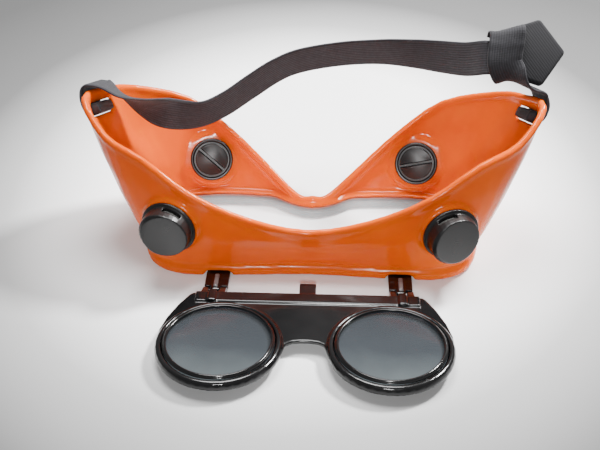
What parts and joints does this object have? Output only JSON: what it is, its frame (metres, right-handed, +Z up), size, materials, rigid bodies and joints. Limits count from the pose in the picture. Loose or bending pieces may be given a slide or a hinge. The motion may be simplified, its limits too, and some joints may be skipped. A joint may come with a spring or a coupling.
{
  "type": "flip-front welding goggles",
  "caption": "Flip-front welding goggles: a soft orange mask with screw-in vents, a black twin-lens front that flips out, and a knotted elastic strap.",
  "frame": {"origin": "on the bench under the brow bead, midway between the hinges", "axes": "+X to the right as seen from the brow, +Y from brow to cheeks, +Z up from the front rim towards the face side"},
  "size_m": [0.232, 0.1914, 0.109],
  "materials": {
    "orange_pvc": "glossy, slightly see-through soft vinyl",
    "black_plastic": "glossy moulded plastic",
    "rubber": "matt",
    "shade_glass": "dark green-grey filter glass",
    "clear_plastic": "clear sheet",
    "steel": "plain pin",
    "filter_foam": "open-cell foam disc",
    "elastic_strap": "ribbed woven elastic"
  },
  "bodies": {
    "goggles": {"goggle_body": "orange_pvc", "front_lens": "clear_plastic", "lens_carrier": "black_plastic", "hinge_pin_right": "steel", "hinge_pin_left": "steel", "brow_vent_right_cap": "black_plastic", "brow_vent_right_plug": "black_plastic", "brow_vent_right_filter": "filter_foam", "brow_vent_left_cap": "black_plastic", "brow_vent_left_plug": "black_plastic", "brow_vent_left_filter": "filter_foam", "cheek_vent_right_cap": "black_plastic", "cheek_vent_right_plug": "black_plastic", "cheek_vent_right_filter": "filter_foam", "cheek_vent_left_cap": "black_plastic", "cheek_vent_left_plug": "black_plastic", "cheek_vent_left_filter": "filter_foam", "strap_band": "elastic_strap", "strap_lead": "elastic_strap", "strap_knot": "elastic_strap"},
    "flip_front": {"flip_frame": "black_plastic", "eye_gasket_right": "rubber", "shade_lens_right": "shade_glass", "cover_lens_right": "clear_plastic", "eye_gasket_left": "rubber", "shade_lens_left": "shade_glass", "cover_lens_left": "clear_plastic"},
    "ring_right": {"retaining_ring_right": "black_plastic"},
    "ring_left": {"retaining_ring_left": "black_plastic"}
  },
  "joints": [
    {"name": "flip_hinge", "type": "hinge", "parent": "goggles", "child": "flip_front", "pos_m": [0, -0.0172, 0.0016], "axis": [1, 0, 0], "range_deg": [0, 180]},
    {"name": "ring_turn_right", "type": "hinge", "parent": "flip_front", "child": "ring_right", "pos_m": [0.0376, -0.0615, 0.009], "axis": [0, 0, 1], "range_deg": [0, 90]},
    {"name": "ring_turn_left", "type": "hinge", "parent": "flip_front", "child": "ring_left", "pos_m": [-0.0376, -0.0615, 0.009], "axis": [0, 0, 1], "range_deg": [0, 90]}
  ]
}
